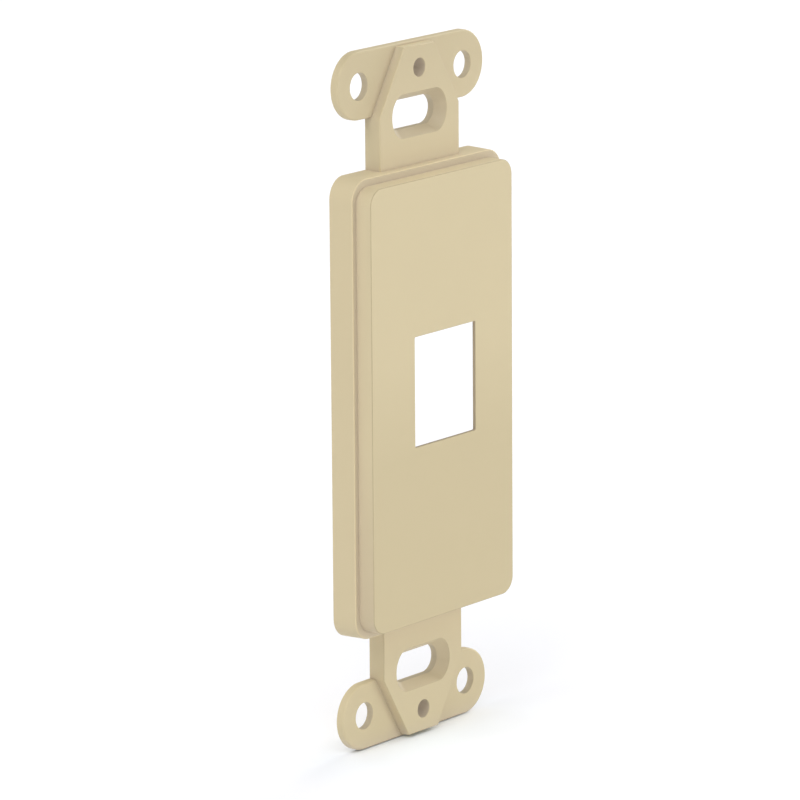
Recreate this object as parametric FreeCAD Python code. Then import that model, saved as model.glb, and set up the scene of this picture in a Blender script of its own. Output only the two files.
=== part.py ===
import FreeCAD, Part
import math
import os

# One-piece moulded insert strap for a decorator cover plate, with one keystone jack port.
# X runs across the strap, Z runs along it, and the face looks towards -Y.
# The back of the strap lies in the plane y = 0, which is the surface of the wall or box.
# The origin is the middle of the screw pattern.

# Raised face that fills the window of the cover plate
face_width = 33.25
face_height = 66.2
face_corner_radius = 2.5
face_edge_radius = 0.1
face_thickness = 1.6
face_draft_angle = 0.5
step_height = 2.7

# Body behind the face, measured at its front edge, which is the ledge around the face
body_width = 35.0
body_height = 68.5
body_corner_radius = 3.15
body_edge_radius = 0.15
body_depth = 4.15
body_draft_angle = 1.6
wall_thickness = 1.5
cavity_corner_radius = 1.4

# Box screws, which set the length of the strap, in oblong holes with a flared seat in front
box_screw_spacing = 83.3
slot_length = 10.6
slot_width = 4.4
slot_flare = 1.1
slot_wall = 1.1

# Cover screws, in pilot holes one step further out than the box screws
cover_screw_step = 6.75
pilot_hole_diameter = 2.75

# Ears, with holes one step further out than the box screws, a little inside the ears' own middle
ear_hole_step = 5.4
ear_hole_inset = 0.1
ear_hole_spacing = 24.15
ear_hole_diameter = 4.05
ear_width = 34.2
ear_radius = 5.05
ear_thickness = 1.2
ear_edge_radius = 0.3

# Thick middle of the strap ends, whose tip stops a little short of the ears
web_width = 18.6
web_thickness = 2.75
web_tip_width = 7.0
web_tip_setback = 0.45
web_edge_radius = 0.15

# Keystone port, with a thin land in front and relieved edges behind it
port_width = 14.3
port_height = 16.5
port_centre_x = 0.5
port_centre_z = 1.65
port_corner_radius = 0.2
port_land = 0.5
port_relief = 1.5

# Cross ribs above and below the port, and the two catches that hold a jack
rib_thickness = 1.4
rib_setback = 0.4
latch_pocket = 3.4
latch_catch_gap = 0.4
latch_catch_thickness = 1.6
latch_catch_chamfer = 0.7
lug_pocket = 3.2
lug_catch_gap = 1.3
lug_catch_room = 1.8
lug_catch_thickness = 1.5
lug_catch_drop = 0.7

# How far a cutting shape runs past the surface that it opens
overshoot = 1.0

wall_y = 0.0
ledge_y = wall_y - body_depth
face_y = ledge_y - step_height
face_inner_y = face_y + face_thickness
ledge_inner_y = ledge_y + wall_thickness
web_y = wall_y - web_thickness
ear_y = wall_y - ear_thickness
slot_y = wall_y - slot_wall
rib_back_y = wall_y - rib_setback

port_top_z = port_centre_z + port_height / 2
port_bottom_z = port_centre_z - port_height / 2
box_screw_z = box_screw_spacing / 2
cover_screw_z = box_screw_z + cover_screw_step
ear_hole_z = box_screw_z + ear_hole_step
ear_middle_z = ear_hole_z + ear_hole_inset
ear_outer_z = ear_middle_z + ear_radius
ear_inner_z = ear_middle_z - ear_radius
web_tip_z = ear_outer_z - web_tip_setback

ACROSS = FreeCAD.Vector(1, 0, 0)
BACKWARD = FreeCAD.Vector(0, 1, 0)


def point(x, y, z):
    return FreeCAD.Vector(x, y, z)


def draft_growth(depth, draft_angle):
    """Growth of a half size over a depth along the mould's draw."""
    return depth * math.tan(math.radians(draft_angle))


def rounded_rectangle(centre, half_width, half_height, radius):
    """Closed wire in a plane of constant y: four sides joined by quarter arcs."""
    edges = []
    corners = [(1, 1), (-1, 1), (-1, -1), (1, -1)]
    arcs = []
    for index, (side_x, side_z) in enumerate(corners):
        arc_centre = centre + point(side_x * (half_width - radius), 0, side_z * (half_height - radius))
        start, middle, end = (
            arc_centre + point(radius * math.cos(angle), 0, radius * math.sin(angle))
            for angle in (math.radians(90 * index + turn) for turn in (0, 45, 90))
        )
        arcs.append((start, middle, end))
    for index, (start, middle, end) in enumerate(arcs):
        following = arcs[(index + 1) % len(arcs)][0]
        edges.append(Part.Arc(start, middle, end).toShape())
        edges.append(Part.LineSegment(end, following).toShape())
    return Part.Wire(edges)


def oblong(centre, half_length, radius):
    """Closed wire in a plane of constant y: two straight sides and two half circles."""
    reach = half_length - radius
    right = centre + point(reach, 0, 0)
    left = centre - point(reach, 0, 0)
    rise = point(0, 0, radius)
    out = point(radius, 0, 0)
    return Part.Wire([
        Part.Arc(right - rise, right + out, right + rise).toShape(),
        Part.LineSegment(right + rise, left + rise).toShape(),
        Part.Arc(left + rise, left - out, left - rise).toShape(),
        Part.LineSegment(left - rise, right - rise).toShape(),
    ])


def prism(wire, depth):
    return Part.Face(wire).extrude(BACKWARD * depth)


def round_front_edges(solid, front_y, radius):
    """Round the edges of a solid that lie in its front plane."""
    front = [
        edge for edge in solid.Edges
        if all(abs(vertex.Point.y - front_y) < 1e-6 for vertex in edge.Vertexes)
    ]
    return solid.makeFillet(radius, front)


def drafted_block(half_width, half_height, radius, front_y, back_y, draft_angle):
    """Rounded block that widens towards the back by the draft angle."""
    growth = draft_growth(back_y - front_y, draft_angle)
    front = rounded_rectangle(point(0, front_y, 0), half_width, half_height, radius)
    back = rounded_rectangle(
        point(0, back_y, 0), half_width + growth, half_height + growth, radius + growth
    )
    return Part.makeLoft([front, back], True, True)


def raised_face():
    block = drafted_block(
        face_width / 2, face_height / 2, face_corner_radius, face_y, ledge_y, face_draft_angle
    )
    return round_front_edges(block, face_y, face_edge_radius)


def outer_body():
    block = drafted_block(
        body_width / 2, body_height / 2, body_corner_radius, ledge_y, wall_y, body_draft_angle
    )
    return round_front_edges(block, ledge_y, body_edge_radius)


def strap_web():
    """Thick middle of one strap end, which narrows to a flat tip near the end of the strap."""
    root_z = body_height / 2 - wall_thickness / 2
    outline = [
        point(-web_width / 2, web_y, root_z),
        point(web_width / 2, web_y, root_z),
        point(web_width / 2, web_y, ear_inner_z),
        point(web_tip_width / 2, web_y, web_tip_z),
        point(-web_tip_width / 2, web_y, web_tip_z),
        point(-web_width / 2, web_y, ear_inner_z),
    ]
    solid = prism(Part.makePolygon(outline + outline[:1]), web_thickness)
    return round_front_edges(solid, web_y, web_edge_radius)


def strap_ears():
    """Thin plate across one strap end, with a round ear at each side."""
    outline = oblong(point(0, ear_y, ear_middle_z), ear_width / 2, ear_radius)
    return round_front_edges(prism(outline, ear_thickness), ear_y, ear_edge_radius)


def screw_slot():
    """Cutting shape for one box screw: an oblong hole under a flared seat."""
    half_length = slot_length / 2
    half_width = slot_width / 2
    hole_front = oblong(point(0, slot_y, box_screw_z), half_length, half_width)
    seat_front = oblong(
        point(0, web_y, box_screw_z), half_length + slot_flare, half_width + slot_flare
    )
    seat = Part.makeLoft([seat_front, hole_front], True, True)
    return seat.fuse(prism(hole_front, slot_wall + overshoot))


def round_hole(diameter, x, z, front_y):
    """Cutting cylinder that runs from in front of a face through to the back."""
    start = point(x, front_y - overshoot, z)
    return Part.makeCylinder(diameter / 2, wall_y - front_y + 2 * overshoot, start, BACKWARD)


def strap_end_openings():
    ear_holes = [
        round_hole(ear_hole_diameter, side * ear_hole_spacing / 2, ear_hole_z, ear_y)
        for side in (-1, 1)
    ]
    return ear_holes + [
        screw_slot(),
        round_hole(pilot_hole_diameter, 0, cover_screw_z, web_y),
    ]


def rail(outline_yz, centre_x, length):
    """Straight bar across the strap with the given outline in the plane of Y and Z."""
    start_x = centre_x - length / 2
    corners = [point(start_x, y, z) for y, z in outline_yz]
    return Part.Face(Part.makePolygon(corners + corners[:1])).extrude(ACROSS * length)


def cross_rib(near_z, direction):
    """Rib across the whole cavity, from near_z away from the port."""
    far_z = near_z + direction * rib_thickness
    outline = [
        (face_inner_y, near_z), (rib_back_y, near_z),
        (rib_back_y, far_z), (face_inner_y, far_z),
    ]
    return rail(outline, 0, body_width + 2 * overshoot)


def latch_catch():
    """Ledge behind the top of the port that the jack's sprung latch snaps over."""
    root_z = port_top_z + latch_pocket + rib_thickness / 2
    edge_z = port_top_z + latch_catch_gap
    front_y = rib_back_y - latch_catch_thickness
    outline = [
        (front_y, root_z), (front_y, edge_z),
        (rib_back_y - latch_catch_chamfer, edge_z),
        (rib_back_y, edge_z + latch_catch_chamfer),
        (rib_back_y, root_z),
    ]
    return rail(outline, port_centre_x, port_width)


def lug_catch():
    """Ledge behind the bottom of the port that the jack's fixed lug hooks under."""
    root_z = port_bottom_z - lug_pocket - rib_thickness / 2
    edge_z = port_bottom_z - lug_catch_gap
    front_y = face_inner_y + lug_catch_room
    back_y = front_y + lug_catch_thickness
    outline = [
        (front_y, root_z), (front_y, edge_z),
        (back_y, edge_z - lug_catch_drop), (back_y, root_z),
    ]
    return rail(outline, port_centre_x, port_width)


def back_cavity():
    """Hollow of the body and the face, open at the back, less the ribs and catches in it."""
    behind_ledge = drafted_block(
        body_width / 2 - wall_thickness, body_height / 2 - wall_thickness,
        cavity_corner_radius, ledge_inner_y, wall_y + overshoot, body_draft_angle,
    )
    behind_face = drafted_block(
        face_width / 2 - wall_thickness, face_height / 2 - wall_thickness,
        cavity_corner_radius, face_inner_y, ledge_inner_y, face_draft_angle,
    )
    inner_parts = [
        cross_rib(port_top_z + latch_pocket, 1),
        cross_rib(port_bottom_z - lug_pocket, -1),
        latch_catch(),
        lug_catch(),
    ]
    return behind_ledge.fuse(behind_face).cut(inner_parts)


def port_opening():
    """Cutting shape for the port: a straight land, then edges that open out to the back."""
    half_width = port_width / 2
    half_height = port_height / 2
    land_y = face_y + port_land
    before = point(port_centre_x, face_y - overshoot, port_centre_z)
    land = prism(
        rounded_rectangle(before, half_width, half_height, port_corner_radius),
        port_land + overshoot,
    )
    relief = Part.makeLoft([
        rounded_rectangle(
            point(port_centre_x, land_y, port_centre_z), half_width, half_height, port_corner_radius
        ),
        rounded_rectangle(
            point(port_centre_x, face_inner_y, port_centre_z),
            half_width + port_relief, half_height + port_relief, port_corner_radius + port_relief,
        ),
    ], True, True)
    return land.fuse(relief)


def at_both_ends(shapes):
    """The shapes at the upper end of the strap, and the same shapes at the lower end."""
    middle = point(0, 0, 0)
    return shapes + [shape.mirror(middle, point(0, 0, 1)) for shape in shapes]


def faceplate():
    outside = outer_body().fuse([raised_face()] + at_both_ends([strap_web(), strap_ears()]))
    openings = [back_cavity(), port_opening()] + at_both_ends(strap_end_openings())
    return outside.cut(openings).removeSplitter()


os.makedirs("parts", exist_ok=True)
plate = faceplate()
plate.exportStep("parts/faceplate.step")
print("solids", len(plate.Solids), "valid", plate.isValid(), "volume", round(plate.Volume, 1))
box = plate.optimalBoundingBox()
print("size", round(box.XLength, 2), round(box.YLength, 2), round(box.ZLength, 2))
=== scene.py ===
"""Looks of the one-piece keystone faceplate: the moulded strap, its plastic and the studio.

Every size is in millimetres in the frame of the CAD model: X across the strap, Z along it, the face
towards -Y and the back of the strap in the plane y = 0. Meshes are written to Blender in metres.
Only the softboxes, the floor's side and the camera's clip planes are given in metres.
"""

import logging
import math
from collections.abc import Callable
from dataclasses import dataclass, field
from enum import Enum

import bmesh
import bpy
from mathutils import Matrix, Vector


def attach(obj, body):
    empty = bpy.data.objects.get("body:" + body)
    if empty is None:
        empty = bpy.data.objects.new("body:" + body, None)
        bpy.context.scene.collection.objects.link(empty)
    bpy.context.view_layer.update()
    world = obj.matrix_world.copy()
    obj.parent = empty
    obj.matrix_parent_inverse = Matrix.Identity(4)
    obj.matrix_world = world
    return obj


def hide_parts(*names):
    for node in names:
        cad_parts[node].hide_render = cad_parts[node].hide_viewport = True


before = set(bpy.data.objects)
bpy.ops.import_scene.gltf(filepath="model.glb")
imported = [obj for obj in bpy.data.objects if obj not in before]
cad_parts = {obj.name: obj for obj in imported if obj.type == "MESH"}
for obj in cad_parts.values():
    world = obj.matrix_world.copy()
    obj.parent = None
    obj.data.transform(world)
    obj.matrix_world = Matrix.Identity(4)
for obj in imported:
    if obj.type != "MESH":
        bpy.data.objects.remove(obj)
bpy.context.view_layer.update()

MM = 0.001
log = logging.getLogger("faceplate")

# Strips in each kind of rounding, and facets round each kind of hole
CORNER_STEPS = 14
EDGE_STEPS = 3
EAR_EDGE_STEPS = 4
PORT_CORNER_STEPS = 4
HOLE_SIDES = 56
OBLONG_SIDES = 72

# How far apart, in millimetres, two sizes may be and still count as the same
SAME_SIZE = 0.004

# How far outside an outline, in millimetres, a spot still counts as in it
OUTLINE_SLACK = 0.05

# Limits of the share of a polygon's normal along an axis, from edge-on to square-on
EDGE_ON = 0.1
WALL_LIKE = 0.3
TURNED = 0.5
STEEP = 0.8
FLAT = 0.9
SQUARE_ON = 0.99

# Shares of open surroundings at which the painted shade of a recess starts, and at which it is full
RECESS_STARTS = 0.95
RECESS_FULL = 0.35

Point = tuple[float, float, float]
Tint = tuple[float, float, float]


class Pick(Enum):
    """What an edit-mode selection holds."""

    VERTS = "VERT"
    EDGES = "EDGE"
    FACES = "FACE"


class Side(Enum):
    """The two ends of the strap."""

    TOP = 1
    BOTTOM = -1


class Facing(Enum):
    """Where a surface looks in the depth of the strap."""

    FRONT = -1
    BACK = 1


class Merge(Enum):
    """How one solid acts on another."""

    JOIN = "UNION"
    CUT = "DIFFERENCE"


def deselect_all() -> None:
    """Leave edit mode and deselect every object."""
    if bpy.context.object is not None and bpy.context.object.mode != "OBJECT":
        bpy.ops.object.mode_set(mode="OBJECT")
    bpy.ops.object.select_all(action="DESELECT")


@dataclass
class Blank:
    """A closed mesh in work, shaped with Blender's modelling operators."""

    obj: bpy.types.Object

    @classmethod
    def block(cls, name: str, low: Point, high: Point) -> "Blank":
        """Start from a box.

        Args:
            name: Name of the new object.
            low: Lowest corner.
            high: Highest corner.

        Returns:
            The new blank.
        """
        deselect_all()
        centre = (Vector(low) + Vector(high)) / 2 * MM
        bpy.ops.mesh.primitive_cube_add(size=1, location=centre)
        obj = bpy.context.object
        obj.name = name
        obj.scale = (Vector(high) - Vector(low)) * MM
        bpy.ops.object.transform_apply(location=True, rotation=True, scale=True)
        return cls(obj)

    @classmethod
    def drum(cls, name: str, radius: float, front_y: float, back_y: float, x: float, z: float,
             sides: int) -> "Blank":
        """Start from a cylinder that lies along Y.

        Args:
            name: Name of the new object.
            radius: Radius of the cylinder, to the middle of its facets.
            front_y: Where it starts.
            back_y: Where it ends.
            x: Centre across the strap.
            z: Centre along the strap.
            sides: Number of facets round it.

        Returns:
            The new blank.
        """
        deselect_all()
        corner_radius = radius / math.cos(math.pi / sides)
        bpy.ops.mesh.primitive_cylinder_add(
            vertices=sides, radius=corner_radius * MM, depth=(back_y - front_y) * MM,
            location=(x * MM, (front_y + back_y) / 2 * MM, z * MM),
            rotation=(math.pi / 2, math.pi / sides, 0),
        )
        obj = bpy.context.object
        obj.name = name
        bpy.ops.object.transform_apply(location=True, rotation=True, scale=True)
        return cls(obj)

    def enter_edit(self, kind: Pick) -> bmesh.types.BMesh:
        """Enter edit mode, with nothing selected.

        Args:
            kind: The kind of element that is to be selected.

        Returns:
            The mesh in edit mode.
        """
        if self.obj.mode != "EDIT":
            deselect_all()
            bpy.context.view_layer.objects.active = self.obj
            self.obj.select_set(True)
            bpy.ops.object.mode_set(mode="EDIT")
        bpy.ops.mesh.select_mode(type=kind.value)
        bpy.ops.mesh.select_all(action="DESELECT")
        return bmesh.from_edit_mesh(self.obj.data)

    def leave_edit(self) -> "Blank":
        """Leave edit mode, and give the blank back."""
        bpy.ops.object.mode_set(mode="OBJECT")
        return self

    def pick(self, kind: Pick, test: Callable[[Vector], bool]) -> None:
        """Select, in edit mode, each element whose vertices all pass a test.

        Args:
            kind: The kind of element to select.
            test: Takes a vertex's place in millimetres.
        """
        mesh = self.enter_edit(kind)
        passed = {vert for vert in mesh.verts if test(vert.co / MM)}
        if kind is Pick.VERTS:
            chosen = list(passed)
        else:
            elements = mesh.edges if kind is Pick.EDGES else mesh.faces
            chosen = [element for element in elements if passed.issuperset(element.verts)]
        for element in chosen:
            element.select_set(True)
        bmesh.update_edit_mesh(self.obj.data)

    def pick_edges(self, test: Callable[[Vector, Vector], bool]) -> None:
        """Select, in edit mode, each edge that passes a test.

        Args:
            test: Takes the places of an edge's two ends in millimetres.
        """
        mesh = self.enter_edit(Pick.EDGES)
        for edge in mesh.edges:
            if test(edge.verts[0].co / MM, edge.verts[1].co / MM):
                edge.select_set(True)
        bmesh.update_edit_mesh(self.obj.data)

    def pick_all(self) -> None:
        """Select the whole mesh in edit mode."""
        self.pick(Pick.VERTS, lambda co: True)

    def round_picked(self, radius: float, segments: int) -> None:
        """Round the selected edges.

        Args:
            radius: Radius of the rounding.
            segments: Number of strips in it; one makes a chamfer.
        """
        bpy.ops.mesh.bevel(offset_type="OFFSET", offset=radius * MM, segments=segments,
                           profile=0.5, affect="EDGES", clamp_overlap=False)

    def move_picked(self, x: float = 0, z: float = 0) -> None:
        """Move the selection across and along the strap."""
        bpy.ops.transform.translate(value=(x * MM, 0, z * MM))

    def resize_picked(self, x: float, z: float, centre: Point) -> None:
        """Scale the selection across and along the strap, about a centre."""
        bpy.ops.transform.resize(value=(x, 1, z), center_override=Vector(centre) * MM)

    def extrude_picked(self, y: float = 0, z: float = 0) -> None:
        """Extrude the selected faces in the strap's depth and along it."""
        bpy.ops.mesh.extrude_region_move(TRANSFORM_OT_translate={"value": (0, y * MM, z * MM)})

    def merge(self, other: "Blank", how: Merge) -> None:
        """Join another blank to this one, or cut this one with it; the other one is used up.

        Args:
            other: The blank that acts on this one.
            how: Whether it is joined on or cut away.
        """
        deselect_all()
        bpy.context.view_layer.objects.active = self.obj
        step = self.obj.modifiers.new(how.name.title(), "BOOLEAN")
        step.operation = how.value
        step.solver = "EXACT"
        step.object = other.obj
        bpy.ops.object.modifier_apply(modifier=step.name)
        other.discard()

    def twin(self, side: Side) -> "Blank":
        """Copy the blank for one end of the strap, with a mesh of its own.

        Args:
            side: The end that the copy is for; the blank itself is modelled at the top.

        Returns:
            The copy, mirrored for the bottom end.
        """
        deselect_all()
        self.obj.select_set(True)
        bpy.context.view_layer.objects.active = self.obj
        bpy.ops.object.duplicate()
        copy = Blank(bpy.context.object)
        if side is Side.BOTTOM:
            copy.pick_all()
            copy.resize_picked(1, side.value, (0, 0, 0))
            copy.turn_outwards()
        return copy

    def turn_outwards(self) -> None:
        """Turn every face outwards, and leave edit mode."""
        bpy.ops.mesh.select_all(action="SELECT")
        bpy.ops.mesh.normals_make_consistent(inside=False)
        self.leave_edit()

    def merge_at_both_ends(self, part: "Blank", how: Merge) -> None:
        """Join on or cut away a piece of the upper end, at both ends; the piece is used up."""
        for side in Side:
            self.merge(part.twin(side), how)
        part.discard()

    def discard(self) -> None:
        """Delete the blank and its mesh."""
        deselect_all()
        mesh = self.obj.data
        bpy.data.objects.remove(self.obj)
        bpy.data.meshes.remove(mesh)


def near(value: float, target: float) -> bool:
    """Whether two sizes in millimetres are the same, within a few micrometres."""
    return abs(value - target) < SAME_SIZE


def runs_deep(start: Vector, end: Vector) -> bool:
    """Whether an edge runs along Y, the depth of the strap."""
    along = end - start
    return abs(along.y) > abs(along.x) + abs(along.z)


def drafted_block(name: str, half_width: float, half_height: float, radius: float, front_y: float,
                  back_y: float, draft: float, rim: float) -> Blank:
    """Make a rounded block that widens towards the back.

    Args:
        name: Name of the new object.
        half_width: Half width at the front.
        half_height: Half height at the front.
        radius: Radius of its four corners.
        front_y: Front plane.
        back_y: Back plane.
        draft: Draft angle in degrees.
        rim: Radius of the front edge, or 0 for a sharp one.

    Returns:
        The block.
    """
    blank = Blank.block(name, (-half_width, front_y, -half_height),
                        (half_width, back_y, half_height))
    blank.pick_edges(runs_deep)
    blank.round_picked(radius, CORNER_STEPS)
    growth = (back_y - front_y) * math.tan(math.radians(draft))
    blank.pick(Pick.VERTS, lambda co: near(co.y, back_y))
    blank.resize_picked(1 + growth / half_width, 1 + growth / half_height, (0, back_y, 0))
    if rim:
        blank.pick(Pick.EDGES, lambda co: near(co.y, front_y))
        blank.round_picked(rim, EDGE_STEPS)
    return blank.leave_edit()


def oblong_block(name: str, half_length: float, radius: float, front_y: float, back_y: float,
                 z: float) -> Blank:
    """Make a flat-sided block with round ends, along X and centred across the strap.

    Args:
        name: Name of the new object.
        half_length: Half length over the round ends.
        radius: Radius of the ends.
        front_y: Front plane.
        back_y: Back plane.
        z: Centre along the strap.

    Returns:
        The block.
    """
    blank = Blank.drum(name, radius, front_y, back_y, 0, z, OBLONG_SIDES)
    reach = half_length - radius
    for way in (1, -1):
        blank.pick(Pick.VERTS, lambda co, way=way: co.x * way > 0)
        blank.move_picked(x=way * reach)
    return blank.leave_edit()


@dataclass
class SoftMouth:
    """The mouth of a cutting shape, which opens out in a small round and so leaves a soft rim."""

    half_width: float
    half_height: float
    x: float
    z: float
    rim: float
    proud: float = 0.004
    overshoot: float = 0.6

    def soften(self, blank: Blank, at_y: float, facing: Facing) -> None:
        """Round one end of a cutting shape, and run it on past the surface.

        Args:
            blank: The cutting shape, whose end face lies one rim inside the surface.
            at_y: The surface that the mouth opens in.
            facing: Where that surface looks.
        """
        way = facing.value
        start_y = at_y - way * self.rim
        blank.pick(Pick.FACES, lambda co: near(co.y, start_y))
        grown = depth = 0.0
        for step in range(1, EDGE_STEPS + 1):
            angle = math.pi / 2 * step / EDGE_STEPS
            new_grown = self.rim * (1 - math.cos(angle))
            new_depth = (self.rim + self.proud) * math.sin(angle)
            blank.extrude_picked(y=way * (new_depth - depth))
            blank.resize_picked(
                (self.half_width + new_grown) / (self.half_width + grown),
                (self.half_height + new_grown) / (self.half_height + grown),
                (self.x, 0, self.z),
            )
            grown, depth = new_grown, new_depth
        blank.extrude_picked(y=way * self.overshoot)
        blank.leave_edit()


@dataclass
class FacePanel:
    """The raised face that fills the cover plate's window, with the keystone port in it."""

    half_width: float = 16.625
    half_height: float = 33.1
    corner_radius: float = 2.5
    edge_radius: float = 0.1
    front_y: float = -6.85
    root_y: float = -4.15
    thickness: float = 1.6
    draft: float = 0.5
    port_half_width: float = 7.15
    port_half_height: float = 8.25
    port_x: float = 0.5
    port_z: float = 1.65
    port_corner: float = 0.2
    port_land: float = 0.5
    port_relief: float = 1.5
    port_rim: float = 0.08
    port_overshoot: float = 0.3
    rooted: float = 0.5

    @property
    def inner_y(self) -> float:
        """Plane of the inner side of the face."""
        return self.front_y + self.thickness

    def in_port(self, spot: Vector) -> bool:
        """Whether a spot lies inside the port's outline, in front of the hollow."""
        return (spot.y < self.inner_y
                and abs(spot.x - self.port_x) < self.port_half_width + OUTLINE_SLACK
                and abs(spot.z - self.port_z) < self.port_half_height + OUTLINE_SLACK)

    def panel(self) -> Blank:
        """Make the raised block, rooted a little way into the body."""
        return drafted_block("face_panel", self.half_width, self.half_height, self.corner_radius,
                             self.front_y, self.root_y + self.rooted, self.draft, self.edge_radius)

    def port_cutter(self) -> Blank:
        """Make the cutting shape of the port: a straight land, then walls that open to the back.

        Returns:
            The cutting shape.
        """
        half_width, half_height = self.port_half_width, self.port_half_height
        land_y = self.front_y + self.port_land
        mouth_y = self.front_y + self.port_rim
        blank = Blank.block("port_cutter",
                            (self.port_x - half_width, mouth_y, self.port_z - half_height),
                            (self.port_x + half_width, land_y, self.port_z + half_height))
        blank.pick_edges(runs_deep)
        blank.round_picked(self.port_corner, PORT_CORNER_STEPS)
        blank.pick(Pick.FACES, lambda co: near(co.y, land_y))
        blank.extrude_picked(y=self.thickness - self.port_land)
        blank.resize_picked(1 + self.port_relief / half_width, 1 + self.port_relief / half_height,
                            (self.port_x, 0, self.port_z))
        blank.extrude_picked(y=self.port_overshoot)
        mouth = SoftMouth(half_width, half_height, self.port_x, self.port_z, self.port_rim)
        mouth.soften(blank, self.front_y, Facing.FRONT)
        return blank


@dataclass
class BodyShell:
    """The hollow body behind the face; its front edge is the ledge around the face."""

    half_width: float = 17.5
    half_height: float = 34.25
    corner_radius: float = 3.15
    edge_radius: float = 0.15
    front_y: float = -4.15
    back_y: float = 0.0
    draft: float = 1.6
    wall: float = 1.5
    cavity_corner: float = 1.4
    cavity_edge: float = 0.25
    cavity_overlap: float = 0.4
    overshoot: float = 1.0
    stock: float = 0.5

    def body(self) -> Blank:
        """Make the solid body, with a little stock behind the back plane."""
        return drafted_block("body_shell", self.half_width, self.half_height, self.corner_radius,
                             self.front_y, self.back_y + self.stock, self.draft, self.edge_radius)

    def cavity_cutter(self, face: FacePanel) -> Blank:
        """Make the cutting shape of the hollow behind the ledge and the face.

        Args:
            face: The face whose hollow joins the body's.

        Returns:
            The cutting shape.
        """
        inner_y = self.front_y + self.wall
        wide = drafted_block("cavity_cutter", self.half_width - self.wall,
                             self.half_height - self.wall, self.cavity_corner, inner_y,
                             self.back_y + self.overshoot, self.draft, 0)
        narrow = drafted_block("face_cavity", face.half_width - self.wall,
                               face.half_height - self.wall, self.cavity_corner, face.inner_y,
                               inner_y + self.cavity_overlap, face.draft, self.cavity_edge)
        wide.merge(narrow, Merge.JOIN)
        return wide


@dataclass
class JackCradle:
    """The cross ribs above and below the port, and the two catches that hold a jack."""

    rib: float = 1.4
    back_y: float = -0.4
    half_length: float = 16.3
    latch_pocket: float = 3.4
    latch_gap: float = 0.4
    latch_thickness: float = 1.6
    latch_chamfer: float = 0.7
    lug_pocket: float = 3.2
    lug_gap: float = 1.3
    lug_room: float = 1.8
    lug_thickness: float = 1.5
    lug_drop: float = 0.7
    edge_radius: float = 0.12
    rooted: float = 0.5

    def rib_bar(self, name: str, near_z: float, side: Side, face: FacePanel) -> Blank:
        """Make one cross rib.

        Args:
            name: Name of the new object.
            near_z: Side of the rib that looks at the port.
            side: Whether it lies above or below the port.
            face: The face that carries the rib.

        Returns:
            The rib, rooted a little way into the walls.
        """
        low_z, high_z = sorted((near_z, near_z + side.value * self.rib))
        blank = Blank.block(name, (-self.half_length, face.inner_y - self.rooted, low_z),
                            (self.half_length, self.back_y, high_z))
        blank.pick(Pick.EDGES, lambda co: near(co.y, self.back_y))
        blank.round_picked(self.edge_radius, EDGE_STEPS)
        return blank.leave_edit()

    def latch_catch(self, face: FacePanel) -> Blank:
        """Make the ledge that the jack's sprung latch snaps over.

        Args:
            face: The face with the port.

        Returns:
            The ledge, rooted in the upper rib.
        """
        port_top = face.port_z + face.port_half_height
        edge_z = port_top + self.latch_gap
        front_y = self.back_y - self.latch_thickness
        blank = Blank.block("latch_catch", (face.port_x - face.port_half_width, front_y, edge_z),
                            (face.port_x + face.port_half_width, self.back_y,
                             port_top + self.latch_pocket + self.rib / 2))
        blank.pick(Pick.EDGES, lambda co: near(co.y, self.back_y) and near(co.z, edge_z))
        blank.round_picked(self.latch_chamfer, 1)
        return blank.leave_edit()

    def lug_catch(self, face: FacePanel) -> Blank:
        """Make the ledge that the jack's fixed lug hooks under.

        Args:
            face: The face with the port.

        Returns:
            The ledge, rooted in the lower rib.
        """
        port_bottom = face.port_z - face.port_half_height
        edge_z = port_bottom - self.lug_gap
        front_y = face.inner_y + self.lug_room
        back_y = front_y + self.lug_thickness
        blank = Blank.block("lug_catch",
                            (face.port_x - face.port_half_width, front_y,
                             port_bottom - self.lug_pocket - self.rib / 2),
                            (face.port_x + face.port_half_width, back_y, edge_z))
        blank.pick(Pick.VERTS, lambda co: near(co.y, back_y) and near(co.z, edge_z))
        blank.move_picked(z=-self.lug_drop)
        return blank.leave_edit()

    def parts(self, face: FacePanel) -> list[Blank]:
        """Make the two ribs and the two catches.

        Args:
            face: The face that carries them.

        Returns:
            The four pieces.
        """
        port_top = face.port_z + face.port_half_height
        port_bottom = face.port_z - face.port_half_height
        return [
            self.rib_bar("upper_rib", port_top + self.latch_pocket, Side.TOP, face),
            self.rib_bar("lower_rib", port_bottom - self.lug_pocket, Side.BOTTOM, face),
            self.latch_catch(face),
            self.lug_catch(face),
        ]


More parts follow.
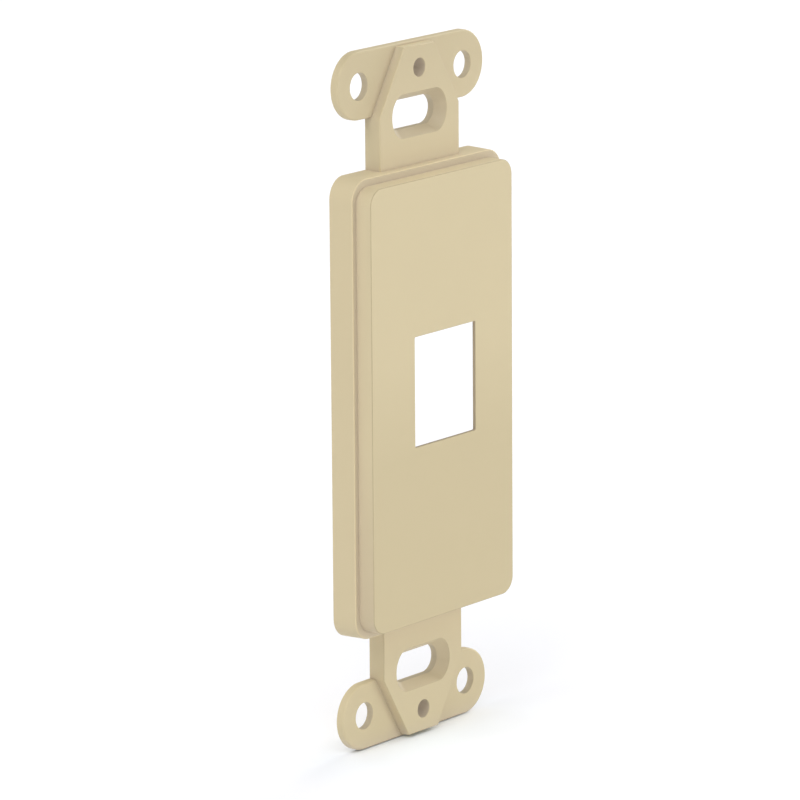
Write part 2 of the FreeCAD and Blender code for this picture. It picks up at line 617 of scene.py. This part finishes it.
@dataclass
class StrapEnd:
    """One end of the strap: the thick middle, the thin plate with two ears, and the holes."""

    web_half_width: float = 9.3
    web_y: float = -2.75
    web_edge: float = 0.15
    tip_half_width: float = 3.5
    root_z: float = 33.5
    kink_z: float = 42.1
    tip_z: float = 51.75
    ear_half_width: float = 17.1
    ear_radius: float = 5.03
    ear_middle_z: float = 47.15
    ear_y: float = -1.2
    ear_edge: float = 0.3
    ear_hole_x: float = 12.075
    ear_hole_z: float = 47.05
    ear_hole_radius: float = 2.025
    slot_z: float = 41.65
    slot_half_length: float = 5.3
    slot_half_width: float = 2.2
    slot_flare: float = 1.1
    slot_y: float = -1.1
    pilot_z: float = 48.4
    pilot_radius: float = 1.375
    back_y: float = 0.0
    rim: float = 0.1
    web_stock: float = 0.6
    ear_stock: float = 0.7

    def web(self) -> Blank:
        """Make the thick middle, narrowing to a flat tip at the end of the strap.

        Returns:
            The thick middle of the upper end.
        """
        blank = Blank.block("strap_web", (-self.web_half_width, self.web_y, self.root_z),
                            (self.web_half_width, self.back_y + self.web_stock, self.kink_z))
        blank.pick(Pick.FACES, lambda co: near(co.z, self.kink_z))
        blank.extrude_picked(z=self.tip_z - self.kink_z)
        blank.resize_picked(self.tip_half_width / self.web_half_width, 1, (0, 0, self.tip_z))
        blank.pick_edges(self.on_outline)
        blank.round_picked(self.web_edge, EDGE_STEPS)
        return blank.leave_edit()

    def on_outline(self, start: Vector, end: Vector) -> bool:
        """Tell the outline of the thick middle's front from the line across it at the kink.

        Args:
            start: One end of an edge, in millimetres.
            end: Its other end.

        Returns:
            Whether the edge lies on the outline.
        """
        in_front = near(start.y, self.web_y) and near(end.y, self.web_y)
        at_kink = near(start.z, self.kink_z) and near(end.z, self.kink_z)
        return in_front and not at_kink

    def ears(self) -> Blank:
        """Make the thin plate across the strap with a round ear at each side.

        Returns:
            The plate of the upper end.
        """
        blank = oblong_block("strap_ears", self.ear_half_width, self.ear_radius, self.ear_y,
                             self.back_y + self.ear_stock, self.ear_middle_z)
        blank.pick(Pick.EDGES, lambda co: near(co.y, self.ear_y))
        blank.round_picked(self.ear_edge, EAR_EDGE_STEPS)
        return blank.leave_edit()

    def hole_cutter(self, name: str, radius: float, x: float, z: float, front_y: float) -> Blank:
        """Make the cutting shape of a round hole with soft rims.

        Args:
            name: Name of the new object.
            radius: Radius of the hole.
            x: Centre across the strap.
            z: Centre along the strap.
            front_y: Front surface that the hole opens in.

        Returns:
            The cutting shape.
        """
        blank = Blank.drum(name, radius, front_y + self.rim, self.back_y - self.rim, x, z,
                           HOLE_SIDES)
        mouth = SoftMouth(radius, radius, x, z, self.rim)
        mouth.soften(blank, front_y, Facing.FRONT)
        mouth.soften(blank, self.back_y, Facing.BACK)
        return blank

    def slot_cutter(self) -> Blank:
        """Make the cutting shape of the box screw's slot: an oblong hole under a flared seat.

        Returns:
            The cutting shape.
        """
        half_length, half_width = self.slot_half_length, self.slot_half_width
        seat_y = self.web_y + self.rim
        blank = oblong_block("slot_cutter", half_length, half_width, self.slot_y,
                             self.back_y - self.rim, self.slot_z)
        blank.pick(Pick.FACES, lambda co: near(co.y, self.slot_y))
        blank.extrude_picked(y=seat_y - self.slot_y)
        flare = (seat_y - self.slot_y) / (self.web_y - self.slot_y) * self.slot_flare
        seat_length, seat_width = half_length + flare, half_width + flare
        blank.resize_picked(seat_length / half_length, seat_width / half_width,
                            (0, 0, self.slot_z))
        seat_mouth = SoftMouth(seat_length, seat_width, 0, self.slot_z, self.rim)
        seat_mouth.soften(blank, self.web_y, Facing.FRONT)
        back_mouth = SoftMouth(half_length, half_width, 0, self.slot_z, self.rim)
        back_mouth.soften(blank, self.back_y, Facing.BACK)
        return blank

    def in_hole(self, spot: Vector) -> bool:
        """Find the walls of the pilot hole, the ear holes and the straight part of the slot.

        Args:
            spot: A place on the moulding, in millimetres.

        Returns:
            Whether it lies inside one of their outlines.
        """
        x, z = abs(spot.x), abs(spot.z)
        in_pilot = math.hypot(x, z - self.pilot_z) < self.pilot_radius + OUTLINE_SLACK
        from_ear_hole = math.hypot(x - self.ear_hole_x, z - self.ear_hole_z)
        in_ear = from_ear_hole < self.ear_hole_radius + OUTLINE_SLACK
        in_slot = (spot.y > self.slot_y and x < self.slot_half_length + OUTLINE_SLACK
                   and abs(z - self.slot_z) < self.slot_half_width + OUTLINE_SLACK)
        return in_pilot or in_ear or in_slot

    def in_seat(self, spot: Vector) -> bool:
        """Whether a spot lies on the flared seat in front of the slot."""
        return (self.web_y < spot.y < self.slot_y
                and abs(spot.x) < self.slot_half_length + self.slot_flare
                and abs(abs(spot.z) - self.slot_z) < self.slot_half_width + self.slot_flare)

    def on_tip_side(self, spot: Vector, normal: Vector) -> bool:
        """Whether a spot lies on the flat side at the end of the thick middle."""
        return near(abs(spot.z), self.tip_z) and abs(normal.z) > FLAT

    def on_flank(self, spot: Vector, normal: Vector) -> bool:
        """Whether a spot lies on the left or right side of the thick middle."""
        return (abs(normal.x) > TURNED and abs(normal.y) < EDGE_ON
                and abs(spot.x) < self.web_half_width + OUTLINE_SLACK)

    def cutters(self) -> list[Blank]:
        """Make the cutting shapes of one end: the slot, the pilot hole and the two ear holes.

        Returns:
            The four cutting shapes of the upper end.
        """
        ears = (("left", -self.ear_hole_x), ("right", self.ear_hole_x))
        return [
            self.slot_cutter(),
            self.hole_cutter("pilot_cutter", self.pilot_radius, 0, self.pilot_z, self.web_y),
            *(self.hole_cutter(f"ear_cutter_{ear}", self.ear_hole_radius, x, self.ear_hole_z,
                               self.ear_y) for ear, x in ears),
        ]


@dataclass
class Faceplate:
    """The whole moulding, from ear to ear."""

    face: FacePanel = field(default_factory=FacePanel)
    body: BodyShell = field(default_factory=BodyShell)
    cradle: JackCradle = field(default_factory=JackCradle)
    end: StrapEnd = field(default_factory=StrapEnd)
    sharp_angle: float = 32.0
    weld: float = 0.002
    trim: Point = (40.0, 3.0, 60.0)

    def back_trim(self) -> Blank:
        """Make the cutting shape that takes off all the stock behind the wall's plane."""
        reach_x, depth, reach_z = self.trim
        return Blank.block("back_trim", (-reach_x, self.body.back_y, -reach_z),
                           (reach_x, self.body.back_y + depth, reach_z))

    def build(self) -> bpy.types.Object:
        """Model the moulding as one closed mesh.

        Returns:
            The finished object.
        """
        plate = self.body.body()
        plate.merge(self.face.panel(), Merge.JOIN)
        for part in (self.end.web(), self.end.ears()):
            plate.merge_at_both_ends(part, Merge.JOIN)
        plate.merge(self.back_trim(), Merge.CUT)
        plate.merge(self.body.cavity_cutter(self.face), Merge.CUT)
        plate.merge(self.face.port_cutter(), Merge.CUT)
        for cutter in self.end.cutters():
            plate.merge_at_both_ends(cutter, Merge.CUT)
        for part in self.cradle.parts(self.face):
            plate.merge(part, Merge.JOIN)
        plate.obj.name = "insert_strap"
        self.smooth(plate)
        return plate.obj

    def smooth(self, plate: Blank) -> None:
        """Clean the mesh and set its shading.

        Args:
            plate: The joined moulding.
        """
        plate.pick_all()
        bpy.ops.mesh.remove_doubles(threshold=self.weld * MM)
        bpy.ops.mesh.dissolve_degenerate(threshold=self.weld * MM)
        plate.turn_outwards()
        bpy.ops.object.shade_smooth_by_angle(angle=math.radians(self.sharp_angle))
        step = plate.obj.modifiers.new("Even", "WEIGHTED_NORMAL")
        step.keep_sharp = True
        step.weight = 100
        bpy.ops.object.modifier_apply(modifier=step.name)


@dataclass
class GroupSheet:
    """A shader node group in the making, with helpers that keep its building short."""

    group: bpy.types.NodeTree
    entry: bpy.types.Node
    leave: bpy.types.Node

    @classmethod
    def start(cls, name: str, inputs: dict[str, float], outputs: tuple[str, ...]) -> "GroupSheet":
        """Make an empty group with its sockets.

        Args:
            name: Name of the group.
            inputs: Names of its inputs, with their default values.
            outputs: Names of its outputs.

        Returns:
            The sheet that the group is built on.
        """
        group = bpy.data.node_groups.new(name, "ShaderNodeTree")
        for label, value in inputs.items():
            socket = group.interface.new_socket(label, in_out="INPUT",
                                                socket_type="NodeSocketFloat")
            socket.default_value = value
        for label in outputs:
            group.interface.new_socket(label, in_out="OUTPUT", socket_type="NodeSocketFloat")
        return cls(group, group.nodes.new("NodeGroupInput"), group.nodes.new("NodeGroupOutput"))

    def node(self, kind: str, **settings: object) -> bpy.types.Node:
        """Add a node and set its properties.

        Args:
            kind: Type of the node.
            **settings: Its properties, by name.

        Returns:
            The node.
        """
        made = self.group.nodes.new(kind)
        for label, value in settings.items():
            setattr(made, label, value)
        return made

    def link(self, source: bpy.types.NodeSocket, target: bpy.types.NodeSocket) -> None:
        """Link two sockets of the group."""
        self.group.links.new(source, target)


def mould_surface_group() -> bpy.types.NodeTree:
    """Make the group of a mould's surface: fine grain, slow flow marks and their gloss.

    Returns:
        The group, which puts out a height for bump, a tone and a change of roughness.
    """
    sheet = GroupSheet.start("MouldSurface",
                             {"Grain Size": 5200.0, "Flow Size": 60.0, "Gloss Spread": 0.08},
                             ("Height", "Tone", "Gloss"))
    place = sheet.node("ShaderNodeTexCoord")
    grain = sheet.node("ShaderNodeTexNoise")
    grain.inputs["Detail"].default_value = 3.0
    grain.inputs["Roughness"].default_value = 0.6
    flow = sheet.node("ShaderNodeTexNoise")
    flow.inputs["Detail"].default_value = 2.0
    flow.inputs["Distortion"].default_value = 0.6
    centred = sheet.node("ShaderNodeMath", operation="SUBTRACT")
    centred.inputs[1].default_value = 0.5
    gloss = sheet.node("ShaderNodeMath", operation="MULTIPLY")
    for texture, size in ((grain, "Grain Size"), (flow, "Flow Size")):
        sheet.link(place.outputs["Object"], texture.inputs["Vector"])
        sheet.link(sheet.entry.outputs[size], texture.inputs["Scale"])
    sheet.link(flow.outputs["Fac"], centred.inputs[0])
    sheet.link(centred.outputs[0], gloss.inputs[0])
    sheet.link(sheet.entry.outputs["Gloss Spread"], gloss.inputs[1])
    sheet.link(grain.outputs["Fac"], sheet.leave.inputs["Height"])
    sheet.link(flow.outputs["Fac"], sheet.leave.inputs["Tone"])
    sheet.link(gloss.outputs[0], sheet.leave.inputs["Gloss"])
    return sheet.group


def painted_recess_shade_group() -> bpy.types.NodeTree:
    """Make the group of painted shade in recesses, from an ambient occlusion mask.

    Returns:
        The group, which gives 0 on open surfaces and rises in corners and holes, where the
        materials paint shade.
    """
    sheet = GroupSheet.start("Recess", {"Reach": 3.0 * MM, "Depth": 1.0}, ("Shade",))
    shade = sheet.node("ShaderNodeAmbientOcclusion", samples=8)
    sheet.link(sheet.entry.outputs["Reach"], shade.inputs["Distance"])
    closed = sheet.node("ShaderNodeMapRange")
    closed.inputs["From Min"].default_value = RECESS_STARTS
    closed.inputs["From Max"].default_value = RECESS_FULL
    sheet.link(shade.outputs["AO"], closed.inputs["Value"])
    scaled = sheet.node("ShaderNodeMath", operation="MULTIPLY", use_clamp=True)
    sheet.link(closed.outputs["Result"], scaled.inputs[0])
    sheet.link(sheet.entry.outputs["Depth"], scaled.inputs[1])
    sheet.link(scaled.outputs[0], sheet.leave.inputs["Shade"])
    return sheet.group


def painted_light_fade_group() -> bpy.types.NodeTree:
    """Make the group of painted light and shade that changes slowly along the moulding.

    Returns:
        The group, which rises from 0 at one height to 1 at another.
    """
    sheet = GroupSheet.start("Fade", {"From": 0.0, "To": 10.0 * MM}, ("Share",))
    place = sheet.node("ShaderNodeTexCoord")
    height = sheet.node("ShaderNodeSeparateXYZ")
    sheet.link(place.outputs["Object"], height.inputs[0])
    share = sheet.node("ShaderNodeMapRange")
    sheet.link(height.outputs["Z"], share.inputs["Value"])
    sheet.link(sheet.entry.outputs["From"], share.inputs["From Min"])
    sheet.link(sheet.entry.outputs["To"], share.inputs["From Max"])
    sheet.link(share.outputs["Result"], sheet.leave.inputs["Share"])
    return sheet.group


@dataclass(frozen=True)
class SurfaceGroups:
    """The node groups that every finish shares."""

    surface: bpy.types.NodeTree
    recess: bpy.types.NodeTree
    fade: bpy.types.NodeTree


IVORY: Tint = (0.588, 0.498, 0.314)


@dataclass(frozen=True)
class Plastic:
    """A finish of the ivory plastic for one region of the moulding, mostly a copy with that
    region's painted light or shade.

    The tone is a share of the ivory, and each tint is a share of that tone: the flow tint is the
    plastic's own mottle, the hollow and crease tints paint shade in recesses, and the fade tint
    paints light or shade that changes along the strap.
    """

    name: str
    # Tone: mostly the region's painted light or shade on the same ivory
    tone: Tint = (1.0, 1.0, 1.0)
    flow_tint: Tint = (1.023, 1.024, 1.024)
    # Painted shade: a bluer tint in hollows and a darker tint in creases
    painted_hollow_shade_tint: Tint = (1.0, 1.0, 1.16)
    painted_crease_shade_tint: Tint = (0.70, 0.70, 0.82)
    # Painted light or shade that changes along the strap, between two heights
    painted_light_fade_tint: Tint = (0.932, 0.928, 0.912)
    painted_light_fade_span: tuple[float, float] | None = None
    roughness: float = 0.55
    grain_size: float = 4600.0
    bump: float = 0.25
    grain_height: float = 0.02
    # Strengths and reaches of the painted shade in hollows and in creases
    hollow: float = 1.0
    painted_hollow_shade_reach: float = 3.0
    root: float = 0.35
    painted_crease_shade_reach: float = 0.4
    ior: float = 1.5
    specular: float = 0.4

    def tinted(self, tint: Tint) -> tuple[float, float, float, float]:
        """The finish's own tone under a tint, as a colour with alpha."""
        red, green, blue = (ivory * tone * by for ivory, tone, by in zip(IVORY, self.tone, tint))
        return red, green, blue, 1.0

    def material(self, groups: SurfaceGroups) -> bpy.types.Material:
        """Make the material.

        Args:
            groups: The node groups that the finishes share.

        Returns:
            The material.
        """
        made = bpy.data.materials.new(self.name)
        made.use_nodes = True
        nodes, links = made.node_tree.nodes, made.node_tree.links
        shader = nodes["Principled BSDF"]

        def place(group: bpy.types.NodeTree, values: dict[str, float]) -> bpy.types.Node:
            """Place a group in the material.

            Args:
                group: The group.
                values: Its inputs, by name.

            Returns:
                Its node.
            """
            node = nodes.new("ShaderNodeGroup")
            node.node_tree = group
            for label, value in values.items():
                node.inputs[label].default_value = value
            return node

        def blend(under: bpy.types.NodeSocket | None, tint: Tint,
                  share: bpy.types.NodeSocket) -> bpy.types.NodeSocket:
            """Mix a tint over a colour.

            Args:
                under: The colour, or None for the finish's own tone.
                tint: The tint.
                share: How much of the tint shows.

            Returns:
                The mixed colour.
            """
            mix = nodes.new("ShaderNodeMix")
            mix.data_type = "RGBA"
            if under is None:
                mix.inputs["A"].default_value = self.tinted((1.0, 1.0, 1.0))
            else:
                links.new(under, mix.inputs["A"])
            mix.inputs["B"].default_value = self.tinted(tint)
            links.new(share, mix.inputs["Factor"])
            return mix.outputs["Result"]

        marks = place(groups.surface, {"Grain Size": self.grain_size})
        colour = blend(None, self.flow_tint, marks.outputs["Tone"])
        # Painted light or shade that changes along the strap
        if self.painted_light_fade_span:
            start, end = self.painted_light_fade_span
            fade = place(groups.fade, {"From": start * MM, "To": end * MM})
            colour = blend(colour, self.painted_light_fade_tint, fade.outputs["Share"])
        # Painted shade: bluer in hollows, then darker in creases, by the ambient occlusion mask
        if self.hollow:
            hollow = place(groups.recess,
                           {"Reach": self.painted_hollow_shade_reach * MM, "Depth": self.hollow})
            colour = blend(colour, self.painted_hollow_shade_tint, hollow.outputs["Shade"])
        if self.root:
            root = place(groups.recess, {"Reach": self.painted_crease_shade_reach * MM, "Depth": self.root})
            colour = blend(colour, self.painted_crease_shade_tint, root.outputs["Shade"])
        gloss = nodes.new("ShaderNodeMath")
        gloss.operation = "ADD"
        gloss.inputs[1].default_value = self.roughness
        bump = nodes.new("ShaderNodeBump")
        bump.inputs["Strength"].default_value = self.bump
        bump.inputs["Distance"].default_value = self.grain_height * MM
        links.new(colour, shader.inputs["Base Color"])
        links.new(marks.outputs["Gloss"], gloss.inputs[0])
        links.new(gloss.outputs[0], shader.inputs["Roughness"])
        links.new(marks.outputs["Height"], bump.inputs["Height"])
        links.new(bump.outputs["Normal"], shader.inputs["Normal"])
        shader.inputs["IOR"].default_value = self.ior
        shader.inputs["Specular IOR Level"].default_value = self.specular
        return made


class FinishAndShade(Enum):
    """The finishes of the moulding, region by region: most are the same ivory with painted light or
    shade in their tone.
    """

    # Painted shade: the face darkens towards its bottom
    RAISED_FACE = Plastic("satin_ivory_painted_shade", tone=(1.0, 1.0, 0.975), roughness=0.5, grain_size=5200.0,
                          bump=0.2, painted_light_fade_span=(7.0, -8.0))
    # Painted shade: a dark line on the face's rounded rim
    FACE_RIM = Plastic("face_rim_painted_shade_ivory", tone=(0.76, 0.74, 0.72), hollow=0.0, root=0.0)
    # Painted shade: the sides of the face darken towards the bottom
    FACE_SIDE = Plastic("face_side_painted_shade_ivory", root=0.3, painted_light_fade_span=(-5.0, -30.0),
                        painted_light_fade_tint=(0.90, 0.885, 0.92))
    # Painted shade and light: a slightly darker copy that lightens near the body's upper end
    BODY = Plastic("body_painted_light_and_shade_ivory", tone=(0.975, 0.970, 0.965), root=0.3,
                   painted_light_fade_span=(30.0, 34.25), painted_light_fade_tint=(1.04, 1.04, 1.04))
    # Painted shade: the upper strap darkens towards its tip
    UPPER_STRAP = Plastic("upper_strap_painted_shade_ivory", tone=(1.014, 1.009, 1.004), root=0.3,
                          painted_light_fade_span=(34.25, 53.0), painted_light_fade_tint=(0.894, 0.894, 0.884))
    # Painted shade: a darker copy for the sides of the thick middle, darkening towards the tip
    UPPER_FLANK = Plastic("flank_painted_shade_ivory", tone=(0.950, 0.957, 0.966), root=0.3,
                          painted_light_fade_span=(34.25, 53.0), painted_light_fade_tint=(0.894, 0.894, 0.884))
    TIP_SIDE = Plastic("tip_side_ivory", tone=(1.0, 1.0, 0.98), hollow=0.0, root=0.0)
    # Painted light: lightens the lower strap next to the body, where the body's shadow falls
    LOWER_STRAP = Plastic("lower_strap_painted_light_ivory", tone=(0.985, 0.98, 0.965), root=0.3,
                          painted_light_fade_span=(-39.5, -35.5), painted_light_fade_tint=(1.09, 1.09, 1.10))
    # Painted highlight: a light line on the outer rim of the ledge
    BODY_RIM = Plastic("body_rim_painted_highlight_ivory", tone=(1.08, 1.07, 1.06), hollow=0.0, root=0.0)
    # Painted shade: a darker line on the rounded front edges of the strap's thick middle
    STRAP_RIM = Plastic("strap_rim_painted_shade_ivory", tone=(0.93, 0.92, 0.91), hollow=0.0, root=0.0)
    # Painted shade: a bluer, slightly darker copy for the ledge beside the raised face
    LEDGE = Plastic("ledge_painted_shade_ivory", tone=(0.98, 0.985, 1.03), root=0.25)
    # Painted shade on the upper slot's seat, and painted light on the lower one
    SEAT = Plastic("seat_painted_light_and_shade_ivory", tone=(0.91, 0.91, 0.97), painted_light_fade_span=(38.0, -38.0),
                   painted_light_fade_tint=(1.12, 1.12, 1.10))
    # Painted shade: a darker copy for the walls of the holes and the slot
    BORE = Plastic("bore_painted_shade_ivory", tone=(0.87, 0.875, 0.94), roughness=0.5)
    # Painted shade: a much darker copy for the port's walls
    PORT_WALL = Plastic("port_wall_painted_shade_ivory", tone=(0.64, 0.62, 0.66), roughness=0.5, root=0.0)
    CORE_SIDE = Plastic("matt_ivory", tone=(0.96, 0.955, 0.95), roughness=0.62,
                        grain_size=3800.0, bump=0.35)


@dataclass
class Dresser:
    """Gives each region of the moulding its finish and its painted light or shade; the sizes are
    loose bounds of the hollow.
    """

    cavity_half_width: float = 16.2
    cavity_half_height: float = 32.9
    cavity_slack: float = 0.01

    def finish_and_shade_at(self, spot: Vector, normal: Vector, plate: Faceplate) -> FinishAndShade:
        """Choose the finish, with its painted light or shade, of one polygon.

        Args:
            spot: Its middle, in millimetres.
            normal: Its outward direction.
            plate: The moulding's measures.

        Returns:
            The finish.
        """
        face, end = plate.face, plate.end
        share = abs(normal.y)
        if share < WALL_LIKE and face.in_port(spot):
            return FinishAndShade.PORT_WALL
        if share < WALL_LIKE and end.in_hole(spot):
            return FinishAndShade.BORE
        if WALL_LIKE < share < STEEP and end.in_seat(spot):
            return FinishAndShade.SEAT
        if near(spot.y, face.root_y) and normal.y < -FLAT:
            return FinishAndShade.LEDGE
        hollow = (abs(spot.x) < self.cavity_half_width and abs(spot.z) < self.cavity_half_height
                  and spot.y > face.inner_y - self.cavity_slack)
        if hollow or normal.y > TURNED:
            return FinishAndShade.CORE_SIDE
        if spot.y > face.root_y:
            return self.outer_finish_and_shade_at(spot, normal, plate)
        if EDGE_ON < share < SQUARE_ON:
            return FinishAndShade.FACE_RIM
        return FinishAndShade.RAISED_FACE if normal.y < -TURNED else FinishAndShade.FACE_SIDE

    def outer_finish_and_shade_at(self, spot: Vector, normal: Vector, plate: Faceplate) -> FinishAndShade:
        """Choose the finish, with its painted light or shade, of a polygon on the outside of the
        body or the strap ends.

        Args:
            spot: Its middle, in millimetres.
            normal: Its outward direction.
            plate: The moulding's measures.

        Returns:
            The finish.
        """
        body, end = plate.body, plate.end
        if EDGE_ON < abs(normal.y) < SQUARE_ON:
            if spot.y < body.front_y + body.edge_radius:
                return FinishAndShade.BODY_RIM
            if end.web_y < spot.y < end.web_y + end.web_edge:
                return FinishAndShade.STRAP_RIM
        if abs(spot.z) < body.half_height:
            return FinishAndShade.BODY
        if end.on_tip_side(spot, normal):
            return FinishAndShade.TIP_SIDE
        if spot.z < 0:
            return FinishAndShade.LOWER_STRAP
        return FinishAndShade.UPPER_FLANK if end.on_flank(spot, normal) else FinishAndShade.UPPER_STRAP

    def dress(self, obj: bpy.types.Object, plate: Faceplate) -> None:
        """Assign the materials face by face.

        Args:
            obj: The moulding.
            plate: Its measures, which bound the regions.
        """
        groups = SurfaceGroups(mould_surface_group(), painted_recess_shade_group(), painted_light_fade_group())
        finishes = list(FinishAndShade)
        obj.data.materials.clear()
        for finish in finishes:
            obj.data.materials.append(finish.value.material(groups))
        for polygon in obj.data.polygons:
            finish = self.finish_and_shade_at(polygon.center / MM, polygon.normal, plate)
            polygon.material_index = finishes.index(finish)


@dataclass(frozen=True)
class Softbox:
    """A square softbox that looks at the object, placed and sized in metres."""

    name: str
    place: Point
    watts: float
    size: float = 1.0


@dataclass
class Studio:
    """The floor, the lights and the camera at the photograph's viewing angle."""

    azimuth: float = -51.344
    elevation: float = 12.975
    roll: float = -0.423
    aim_x: float = -6.387
    aim_z: float = -0.585
    face_y: float = -6.85
    distance: float = 834.65
    lens: float = 255.95
    sensor: float = 36.0
    clip: tuple[float, float] = (0.02, 50.0)
    floor_z: float = -52.3
    floor_side: float = 16.0
    floor_tone: Tint = (0.95, 0.955, 0.985)
    floor_roughness: float = 0.7
    # Painted shadow colour: a cooler tone round the strap's foot takes the warm bounce out of its
    # shadow
    painted_shadow_tone: Tint = (0.89, 0.947, 1.0)
    painted_shadow_middle: tuple[float, float] = (-2.0, -5.0)
    painted_shadow_reach: tuple[float, float] = (30.0, 15.0)
    room_strength: float = 0.43
    lamps: tuple[Softbox, ...] = (
        Softbox("front_right_low", (0.7, -1.4, 0.1), 8.7),
        Softbox("front_left_top", (-0.9, -0.9, 1.1), 6.2),
        Softbox("left_top", (-1.1, -0.1, 1.2), 10.7),
        Softbox("back", (0, 1.6, 0.8), 5.5),
        Softbox("right", (1.6, 0, 0.6), 18.6),
    )

    def camera(self) -> None:
        """Make the camera."""
        azimuth, elevation = math.radians(self.azimuth), math.radians(self.elevation)
        roll = math.radians(self.roll)
        back = Vector((math.sin(azimuth) * math.cos(elevation),
                       -math.cos(azimuth) * math.cos(elevation), math.sin(elevation)))
        level = Vector((math.cos(azimuth), math.sin(azimuth), 0))
        upright = back.cross(level)
        right = level * math.cos(roll) + upright * math.sin(roll)
        up = upright * math.cos(roll) - level * math.sin(roll)
        aim = level * self.aim_x + upright * self.aim_z + Vector((0, self.face_y, 0))
        data = bpy.data.cameras.new("camera")
        data.lens = self.lens
        data.sensor_width = self.sensor
        data.clip_start, data.clip_end = self.clip
        camera = bpy.data.objects.new("camera", data)
        turned = Matrix((right, up, back)).transposed().to_4x4()
        camera.matrix_world = Matrix.Translation((aim + back * self.distance) * MM) @ turned
        bpy.context.scene.collection.objects.link(camera)
        bpy.context.scene.camera = camera

    def lamp(self, box: Softbox) -> None:
        """Make a softbox's light.

        Args:
            box: The softbox.
        """
        data = bpy.data.lights.new(box.name, "AREA")
        data.shape = "SQUARE"
        data.size = box.size
        data.energy = box.watts
        lamp = bpy.data.objects.new(box.name, data)
        lamp.location = box.place
        lamp.rotation_euler = (-Vector(box.place)).to_track_quat("-Z", "Y").to_euler()
        lamp.visible_camera = False
        bpy.context.scene.collection.objects.link(lamp)

    def floor(self) -> bpy.types.Object:
        """Make the pale floor under the strap, with an oval of painted cool shadow tone around its
        lower end.

        Returns:
            The floor.
        """
        deselect_all()
        bpy.ops.mesh.primitive_plane_add(size=self.floor_side, location=(0, 0, self.floor_z * MM))
        floor = bpy.context.object
        floor.name = "floor"
        bpy.ops.object.transform_apply(location=True, rotation=True, scale=True)
        made = bpy.data.materials.new("pale_floor")
        made.use_nodes = True
        nodes, links = made.node_tree.nodes, made.node_tree.links
        place = nodes.new("ShaderNodeTexCoord")
        oval = nodes.new("ShaderNodeMapping")
        oval.vector_type = "TEXTURE"
        oval.inputs["Location"].default_value = tuple(
            middle * MM for middle in (*self.painted_shadow_middle, self.floor_z))
        oval.inputs["Scale"].default_value = (*(reach * MM for reach in self.painted_shadow_reach), 1.0)
        share = nodes.new("ShaderNodeTexGradient")
        share.gradient_type = "SPHERICAL"
        tint = nodes.new("ShaderNodeMix")
        tint.data_type = "RGBA"
        tint.inputs["A"].default_value = (*self.floor_tone, 1.0)
        tint.inputs["B"].default_value = (*self.painted_shadow_tone, 1.0)
        shader = nodes["Principled BSDF"]
        shader.inputs["Roughness"].default_value = self.floor_roughness
        links.new(place.outputs["Object"], oval.inputs["Vector"])
        links.new(oval.outputs["Vector"], share.inputs["Vector"])
        links.new(share.outputs["Fac"], tint.inputs["Factor"])
        links.new(tint.outputs["Result"], shader.inputs["Base Color"])
        floor.data.materials.append(made)
        return floor

    def light(self) -> None:
        """Light the studio: an even white room and softboxes all round."""
        world = bpy.data.worlds.new("room")
        world.use_nodes = True
        glow = world.node_tree.nodes["Background"]
        glow.inputs["Color"].default_value = (1, 1, 1, 1)
        glow.inputs["Strength"].default_value = self.room_strength
        bpy.context.scene.world = world
        for lamp in self.lamps:
            self.lamp(lamp)
        view = bpy.context.scene.view_settings
        view.view_transform = "Standard"
        view.look = "None"


def main() -> None:
    """Build the moulding, dress it, set up the studio and report each piece."""
    logging.basicConfig(level=logging.INFO, format="%(message)s")
    studio = Studio()
    studio.camera()
    studio.light()
    studio.floor()
    faceplate = Faceplate()
    strap = faceplate.build()
    Dresser().dress(strap, faceplate)
    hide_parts("faceplate")
    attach(strap, "root")
    strap.data.calc_loop_triangles()
    log.info("%s: %d triangles", strap.name, len(strap.data.loop_triangles))


if __name__ == "__main__":
    main()
